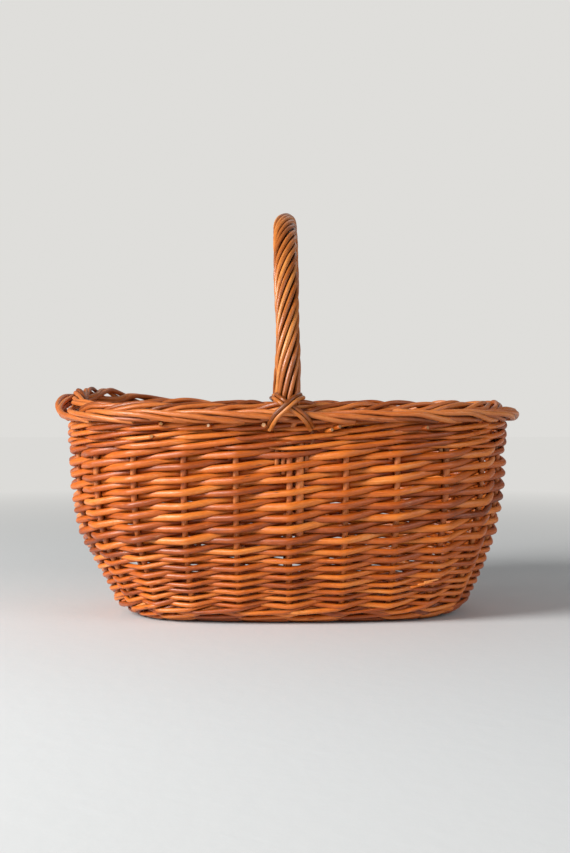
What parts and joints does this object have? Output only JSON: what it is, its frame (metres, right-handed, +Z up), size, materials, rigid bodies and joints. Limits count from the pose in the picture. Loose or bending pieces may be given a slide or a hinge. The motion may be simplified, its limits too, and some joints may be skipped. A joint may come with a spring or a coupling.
{
  "type": "market basket",
  "caption": "Oval woven willow market basket with rounded sides, a thick rolled rim and a fixed roped handle arching over it from front to back.",
  "frame": {"origin": "on the floor, under the middle of the basket", "axes": "+X along the basket's length, -Y towards the front, +Z up; the handle arches in the plane across the length"},
  "size_m": [0.466, 0.3492, 0.3981],
  "materials": {
    "siding": "varnished",
    "stakes": "varnished",
    "border": "varnished",
    "base": "satin",
    "handle_core": "satin",
    "wrapping_rods": "varnished"
  },
  "bodies": {
    "root": {"stake_01": "stakes", "stake_02": "stakes", "stake_03": "stakes", "stake_04": "stakes", "stake_05": "stakes", "stake_06": "stakes", "stake_07": "stakes", "stake_08": "stakes", "stake_09": "stakes", "stake_10": "stakes", "stake_11": "stakes", "stake_12": "stakes", "stake_13": "stakes", "stake_14": "stakes", "stake_15": "stakes", "stake_16": "stakes", "stake_17": "stakes", "stake_18": "stakes", "stake_19": "stakes", "stake_20": "stakes", "stake_21": "stakes", "stake_22": "stakes", "stake_23": "stakes", "stake_24": "stakes", "bye_stakes": "stakes", "handle_bow": "handle_core", "handle_wrap_01": "wrapping_rods", "handle_wrap_02": "wrapping_rods", "handle_wrap_03": "wrapping_rods", "handle_wrap_04": "wrapping_rods", "handle_wrap_05": "wrapping_rods", "handle_wrap_06": "wrapping_rods", "handle_wrap_07": "wrapping_rods", "handle_wrap_08": "wrapping_rods", "handle_wrap_09": "wrapping_rods", "handle_wrap_10": "wrapping_rods", "base_long_sticks": "base", "base_cross_sticks": "base", "base_weave": "base", "foot_wale": "siding", "siding_weave": "siding", "top_wale": "siding", "border": "border", "lashing_front": "wrapping_rods", "lashing_back": "wrapping_rods"}
  },
  "joints": []
}
